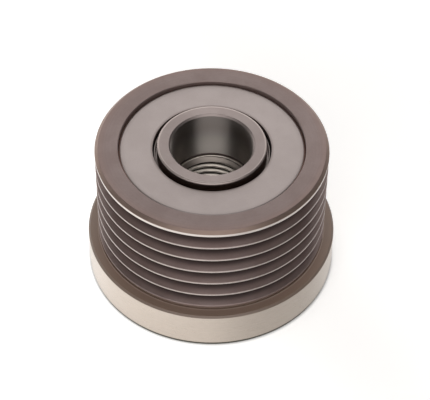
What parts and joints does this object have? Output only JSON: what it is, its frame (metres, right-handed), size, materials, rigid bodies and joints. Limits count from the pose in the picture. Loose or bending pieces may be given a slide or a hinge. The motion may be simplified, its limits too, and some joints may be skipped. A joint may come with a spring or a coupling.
{
  "type": "overrunning alternator pulley",
  "caption": "Freewheel belt pulley for an alternator: ribbed steel rim with a front flange, turning on a threaded hub through a sealed one-way roller clutch.",
  "frame": {"origin": "centre of the flange's front face, on the shaft axis, at the lowest point", "axes": "+Z along the shaft axis, from the front flange towards the alternator; +X and +Y square to it"},
  "size_m": [0.0524, 0.0524, 0.0327],
  "materials": {
    "rim_steel": "turned steel with a brown-grey phosphate finish, the flange's rim turned bright",
    "hub_steel": "hardened and ground steel, satin",
    "drawn_steel": "drawn and hardened strip, smooth",
    "cage_polymer": "glass-filled polyamide",
    "spring_steel": "thin spring strip",
    "roller_steel": "ground bearing steel",
    "ring_steel": "ground ring, satin",
    "seal_case_steel": "pressed sheet, even satin grey",
    "seal_rubber": "moulded nitrile or fluorocarbon, matt"
  },
  "bodies": {
    "hub": {"hub": "hub_steel", "rear_thrust_ring": "ring_steel", "front_thrust_ring": "ring_steel"},
    "rim": {"pulley_rim": "rim_steel", "clutch_cup": "drawn_steel", "clutch_cage": "cage_polymer", "clutch_springs": "spring_steel", "rear_seal_case": "seal_case_steel", "rear_seal_lip": "seal_rubber", "front_seal_case": "seal_case_steel", "front_seal_lip": "seal_rubber"},
    "rear_cage": {"rear_bearing_cage": "cage_polymer"},
    "rear_roller_01": {"rear_bearing_roller_01": "roller_steel"},
    "rear_roller_02": {"rear_bearing_roller_02": "roller_steel"},
    "rear_roller_03": {"rear_bearing_roller_03": "roller_steel"},
    "rear_roller_04": {"rear_bearing_roller_04": "roller_steel"},
    "rear_roller_05": {"rear_bearing_roller_05": "roller_steel"},
    "rear_roller_06": {"rear_bearing_roller_06": "roller_steel"},
    "rear_roller_07": {"rear_bearing_roller_07": "roller_steel"},
    "rear_roller_08": {"rear_bearing_roller_08": "roller_steel"},
    "rear_roller_09": {"rear_bearing_roller_09": "roller_steel"},
    "rear_roller_10": {"rear_bearing_roller_10": "roller_steel"},
    "rear_roller_11": {"rear_bearing_roller_11": "roller_steel"},
    "rear_roller_12": {"rear_bearing_roller_12": "roller_steel"},
    "rear_roller_13": {"rear_bearing_roller_13": "roller_steel"},
    "rear_roller_14": {"rear_bearing_roller_14": "roller_steel"},
    "rear_roller_15": {"rear_bearing_roller_15": "roller_steel"},
    "rear_roller_16": {"rear_bearing_roller_16": "roller_steel"},
    "front_cage": {"front_bearing_cage": "cage_polymer"},
    "front_roller_01": {"front_bearing_roller_01": "roller_steel"},
    "front_roller_02": {"front_bearing_roller_02": "roller_steel"},
    "front_roller_03": {"front_bearing_roller_03": "roller_steel"},
    "front_roller_04": {"front_bearing_roller_04": "roller_steel"},
    "front_roller_05": {"front_bearing_roller_05": "roller_steel"},
    "front_roller_06": {"front_bearing_roller_06": "roller_steel"},
    "front_roller_07": {"front_bearing_roller_07": "roller_steel"},
    "front_roller_08": {"front_bearing_roller_08": "roller_steel"},
    "front_roller_09": {"front_bearing_roller_09": "roller_steel"},
    "front_roller_10": {"front_bearing_roller_10": "roller_steel"},
    "front_roller_11": {"front_bearing_roller_11": "roller_steel"},
    "front_roller_12": {"front_bearing_roller_12": "roller_steel"},
    "front_roller_13": {"front_bearing_roller_13": "roller_steel"},
    "front_roller_14": {"front_bearing_roller_14": "roller_steel"},
    "front_roller_15": {"front_bearing_roller_15": "roller_steel"},
    "front_roller_16": {"front_bearing_roller_16": "roller_steel"},
    "clutch_roller_01": {"clutch_roller_01": "roller_steel"},
    "clutch_roller_02": {"clutch_roller_02": "roller_steel"},
    "clutch_roller_03": {"clutch_roller_03": "roller_steel"},
    "clutch_roller_04": {"clutch_roller_04": "roller_steel"},
    "clutch_roller_05": {"clutch_roller_05": "roller_steel"},
    "clutch_roller_06": {"clutch_roller_06": "roller_steel"},
    "clutch_roller_07": {"clutch_roller_07": "roller_steel"},
    "clutch_roller_08": {"clutch_roller_08": "roller_steel"},
    "clutch_roller_09": {"clutch_roller_09": "roller_steel"},
    "clutch_roller_10": {"clutch_roller_10": "roller_steel"},
    "clutch_roller_11": {"clutch_roller_11": "roller_steel"},
    "clutch_roller_12": {"clutch_roller_12": "roller_steel"}
  },
  "joints": [
    {"name": "rim_spin", "type": "hinge", "parent": "hub", "child": "rim", "pos_m": [0, 0, 0.0178], "axis": [0, 0, 1], "continuous": true},
    {"name": "rear_cage_spin", "type": "hinge", "parent": "hub", "child": "rear_cage", "pos_m": [0, 0, 0.0243], "axis": [0, 0, 1], "continuous": true},
    {"name": "rear_roller_01_spin", "type": "hinge", "parent": "rear_cage", "child": "rear_roller_01", "pos_m": [0.01525, 0, 0.0243], "axis": [0, 0, 1], "continuous": true},
    {"name": "rear_roller_02_spin", "type": "hinge", "parent": "rear_cage", "child": "rear_roller_02", "pos_m": [0.01409, 0.00584, 0.0243], "axis": [0, 0, 1], "continuous": true},
    {"name": "rear_roller_03_spin", "type": "hinge", "parent": "rear_cage", "child": "rear_roller_03", "pos_m": [0.01078, 0.01078, 0.0243], "axis": [0, 0, 1], "continuous": true},
    {"name": "rear_roller_04_spin", "type": "hinge", "parent": "rear_cage", "child": "rear_roller_04", "pos_m": [0.00584, 0.01409, 0.0243], "axis": [0, 0, 1], "continuous": true},
    {"name": "rear_roller_05_spin", "type": "hinge", "parent": "rear_cage", "child": "rear_roller_05", "pos_m": [0, 0.01525, 0.0243], "axis": [0, 0, 1], "continuous": true},
    {"name": "rear_roller_06_spin", "type": "hinge", "parent": "rear_cage", "child": "rear_roller_06", "pos_m": [-0.00584, 0.01409, 0.0243], "axis": [0, 0, 1], "continuous": true},
    {"name": "rear_roller_07_spin", "type": "hinge", "parent": "rear_cage", "child": "rear_roller_07", "pos_m": [-0.01078, 0.01078, 0.0243], "axis": [0, 0, 1], "continuous": true},
    {"name": "rear_roller_08_spin", "type": "hinge", "parent": "rear_cage", "child": "rear_roller_08", "pos_m": [-0.01409, 0.00584, 0.0243], "axis": [0, 0, 1], "continuous": true},
    {"name": "rear_roller_09_spin", "type": "hinge", "parent": "rear_cage", "child": "rear_roller_09", "pos_m": [-0.01525, 0, 0.0243], "axis": [0, 0, 1], "continuous": true},
    {"name": "rear_roller_10_spin", "type": "hinge", "parent": "rear_cage", "child": "rear_roller_10", "pos_m": [-0.01409, -0.00584, 0.0243], "axis": [0, 0, 1], "continuous": true},
    {"name": "rear_roller_11_spin", "type": "hinge", "parent": "rear_cage", "child": "rear_roller_11", "pos_m": [-0.01078, -0.01078, 0.0243], "axis": [0, 0, 1], "continuous": true},
    {"name": "rear_roller_12_spin", "type": "hinge", "parent": "rear_cage", "child": "rear_roller_12", "pos_m": [-0.00584, -0.01409, 0.0243], "axis": [0, 0, 1], "continuous": true},
    {"name": "rear_roller_13_spin", "type": "hinge", "parent": "rear_cage", "child": "rear_roller_13", "pos_m": [0, -0.01525, 0.0243], "axis": [0, 0, 1], "continuous": true},
    {"name": "rear_roller_14_spin", "type": "hinge", "parent": "rear_cage", "child": "rear_roller_14", "pos_m": [0.00584, -0.01409, 0.0243], "axis": [0, 0, 1], "continuous": true},
    {"name": "rear_roller_15_spin", "type": "hinge", "parent": "rear_cage", "child": "rear_roller_15", "pos_m": [0.01078, -0.01078, 0.0243], "axis": [0, 0, 1], "continuous": true},
    {"name": "rear_roller_16_spin", "type": "hinge", "parent": "rear_cage", "child": "rear_roller_16", "pos_m": [0.01409, -0.00584, 0.0243], "axis": [0, 0, 1], "continuous": true},
    {"name": "front_cage_spin", "type": "hinge", "parent": "hub", "child": "front_cage", "pos_m": [0, 0, 0.0113], "axis": [0, 0, 1], "continuous": true},
    {"name": "front_roller_01_spin", "type": "hinge", "parent": "front_cage", "child": "front_roller_01", "pos_m": [0.01525, 0, 0.0113], "axis": [0, 0, 1], "continuous": true},
    {"name": "front_roller_02_spin", "type": "hinge", "parent": "front_cage", "child": "front_roller_02", "pos_m": [0.01409, 0.00584, 0.0113], "axis": [0, 0, 1], "continuous": true},
    {"name": "front_roller_03_spin", "type": "hinge", "parent": "front_cage", "child": "front_roller_03", "pos_m": [0.01078, 0.01078, 0.0113], "axis": [0, 0, 1], "continuous": true},
    {"name": "front_roller_04_spin", "type": "hinge", "parent": "front_cage", "child": "front_roller_04", "pos_m": [0.00584, 0.01409, 0.0113], "axis": [0, 0, 1], "continuous": true},
    {"name": "front_roller_05_spin", "type": "hinge", "parent": "front_cage", "child": "front_roller_05", "pos_m": [0, 0.01525, 0.0113], "axis": [0, 0, 1], "continuous": true},
    {"name": "front_roller_06_spin", "type": "hinge", "parent": "front_cage", "child": "front_roller_06", "pos_m": [-0.00584, 0.01409, 0.0113], "axis": [0, 0, 1], "continuous": true},
    {"name": "front_roller_07_spin", "type": "hinge", "parent": "front_cage", "child": "front_roller_07", "pos_m": [-0.01078, 0.01078, 0.0113], "axis": [0, 0, 1], "continuous": true},
    {"name": "front_roller_08_spin", "type": "hinge", "parent": "front_cage", "child": "front_roller_08", "pos_m": [-0.01409, 0.00584, 0.0113], "axis": [0, 0, 1], "continuous": true},
    {"name": "front_roller_09_spin", "type": "hinge", "parent": "front_cage", "child": "front_roller_09", "pos_m": [-0.01525, 0, 0.0113], "axis": [0, 0, 1], "continuous": true},
    {"name": "front_roller_10_spin", "type": "hinge", "parent": "front_cage", "child": "front_roller_10", "pos_m": [-0.01409, -0.00584, 0.0113], "axis": [0, 0, 1], "continuous": true},
    {"name": "front_roller_11_spin", "type": "hinge", "parent": "front_cage", "child": "front_roller_11", "pos_m": [-0.01078, -0.01078, 0.0113], "axis": [0, 0, 1], "continuous": true},
    {"name": "front_roller_12_spin", "type": "hinge", "parent": "front_cage", "child": "front_roller_12", "pos_m": [-0.00584, -0.01409, 0.0113], "axis": [0, 0, 1], "continuous": true},
    {"name": "front_roller_13_spin", "type": "hinge", "parent": "front_cage", "child": "front_roller_13", "pos_m": [0, -0.01525, 0.0113], "axis": [0, 0, 1], "continuous": true},
    {"name": "front_roller_14_spin", "type": "hinge", "parent": "front_cage", "child": "front_roller_14", "pos_m": [0.00584, -0.01409, 0.0113], "axis": [0, 0, 1], "continuous": true},
    {"name": "front_roller_15_spin", "type": "hinge", "parent": "front_cage", "child": "front_roller_15", "pos_m": [0.01078, -0.01078, 0.0113], "axis": [0, 0, 1], "continuous": true},
    {"name": "front_roller_16_spin", "type": "hinge", "parent": "front_cage", "child": "front_roller_16", "pos_m": [0.01409, -0.00584, 0.0113], "axis": [0, 0, 1], "continuous": true},
    {"name": "clutch_roller_01_spin", "type": "hinge", "parent": "rim", "child": "clutch_roller_01", "pos_m": [0.01524, 0, 0.0178], "axis": [0, 0, 1], "continuous": true},
    {"name": "clutch_roller_02_spin", "type": "hinge", "parent": "rim", "child": "clutch_roller_02", "pos_m": [0.0132, 0.00762, 0.0178], "axis": [0, 0, 1], "continuous": true},
    {"name": "clutch_roller_03_spin", "type": "hinge", "parent": "rim", "child": "clutch_roller_03", "pos_m": [0.00762, 0.0132, 0.0178], "axis": [0, 0, 1], "continuous": true},
    {"name": "clutch_roller_04_spin", "type": "hinge", "parent": "rim", "child": "clutch_roller_04", "pos_m": [0, 0.01524, 0.0178], "axis": [0, 0, 1], "continuous": true},
    {"name": "clutch_roller_05_spin", "type": "hinge", "parent": "rim", "child": "clutch_roller_05", "pos_m": [-0.00762, 0.0132, 0.0178], "axis": [0, 0, 1], "continuous": true},
    {"name": "clutch_roller_06_spin", "type": "hinge", "parent": "rim", "child": "clutch_roller_06", "pos_m": [-0.0132, 0.00762, 0.0178], "axis": [0, 0, 1], "continuous": true},
    {"name": "clutch_roller_07_spin", "type": "hinge", "parent": "rim", "child": "clutch_roller_07", "pos_m": [-0.01524, 0, 0.0178], "axis": [0, 0, 1], "continuous": true},
    {"name": "clutch_roller_08_spin", "type": "hinge", "parent": "rim", "child": "clutch_roller_08", "pos_m": [-0.0132, -0.00762, 0.0178], "axis": [0, 0, 1], "continuous": true},
    {"name": "clutch_roller_09_spin", "type": "hinge", "parent": "rim", "child": "clutch_roller_09", "pos_m": [-0.00762, -0.0132, 0.0178], "axis": [0, 0, 1], "continuous": true},
    {"name": "clutch_roller_10_spin", "type": "hinge", "parent": "rim", "child": "clutch_roller_10", "pos_m": [0, -0.01524, 0.0178], "axis": [0, 0, 1], "continuous": true},
    {"name": "clutch_roller_11_spin", "type": "hinge", "parent": "rim", "child": "clutch_roller_11", "pos_m": [0.00762, -0.0132, 0.0178], "axis": [0, 0, 1], "continuous": true},
    {"name": "clutch_roller_12_spin", "type": "hinge", "parent": "rim", "child": "clutch_roller_12", "pos_m": [0.0132, -0.00762, 0.0178], "axis": [0, 0, 1], "continuous": true}
  ],
  "couplings": [
    {"joint": "rear_cage_spin", "follows": "rim_spin", "ratio": 0.54098},
    {"joint": "rear_roller_01_spin", "follows": "rim_spin", "ratio": 6.1079},
    {"joint": "rear_roller_02_spin", "follows": "rim_spin", "ratio": 6.1079},
    {"joint": "rear_roller_03_spin", "follows": "rim_spin", "ratio": 6.1079},
    {"joint": "rear_roller_04_spin", "follows": "rim_spin", "ratio": 6.1079},
    {"joint": "rear_roller_05_spin", "follows": "rim_spin", "ratio": 6.1079},
    {"joint": "rear_roller_06_spin", "follows": "rim_spin", "ratio": 6.1079},
    {"joint": "rear_roller_07_spin", "follows": "rim_spin", "ratio": 6.1079},
    {"joint": "rear_roller_08_spin", "follows": "rim_spin", "ratio": 6.1079},
    {"joint": "rear_roller_09_spin", "follows": "rim_spin", "ratio": 6.1079},
    {"joint": "rear_roller_10_spin", "follows": "rim_spin", "ratio": 6.1079},
    {"joint": "rear_roller_11_spin", "follows": "rim_spin", "ratio": 6.1079},
    {"joint": "rear_roller_12_spin", "follows": "rim_spin", "ratio": 6.1079},
    {"joint": "rear_roller_13_spin", "follows": "rim_spin", "ratio": 6.1079},
    {"joint": "rear_roller_14_spin", "follows": "rim_spin", "ratio": 6.1079},
    {"joint": "rear_roller_15_spin", "follows": "rim_spin", "ratio": 6.1079},
    {"joint": "rear_roller_16_spin", "follows": "rim_spin", "ratio": 6.1079},
    {"joint": "front_cage_spin", "follows": "rim_spin", "ratio": 0.54098},
    {"joint": "front_roller_01_spin", "follows": "rim_spin", "ratio": 6.1079},
    {"joint": "front_roller_02_spin", "follows": "rim_spin", "ratio": 6.1079},
    {"joint": "front_roller_03_spin", "follows": "rim_spin", "ratio": 6.1079},
    {"joint": "front_roller_04_spin", "follows": "rim_spin", "ratio": 6.1079},
    {"joint": "front_roller_05_spin", "follows": "rim_spin", "ratio": 6.1079},
    {"joint": "front_roller_06_spin", "follows": "rim_spin", "ratio": 6.1079},
    {"joint": "front_roller_07_spin", "follows": "rim_spin", "ratio": 6.1079},
    {"joint": "front_roller_08_spin", "follows": "rim_spin", "ratio": 6.1079},
    {"joint": "front_roller_09_spin", "follows": "rim_spin", "ratio": 6.1079},
    {"joint": "front_roller_10_spin", "follows": "rim_spin", "ratio": 6.1079},
    {"joint": "front_roller_11_spin", "follows": "rim_spin", "ratio": 6.1079},
    {"joint": "front_roller_12_spin", "follows": "rim_spin", "ratio": 6.1079},
    {"joint": "front_roller_13_spin", "follows": "rim_spin", "ratio": 6.1079},
    {"joint": "front_roller_14_spin", "follows": "rim_spin", "ratio": 6.1079},
    {"joint": "front_roller_15_spin", "follows": "rim_spin", "ratio": 6.1079},
    {"joint": "front_roller_16_spin", "follows": "rim_spin", "ratio": 6.1079}
  ]
}
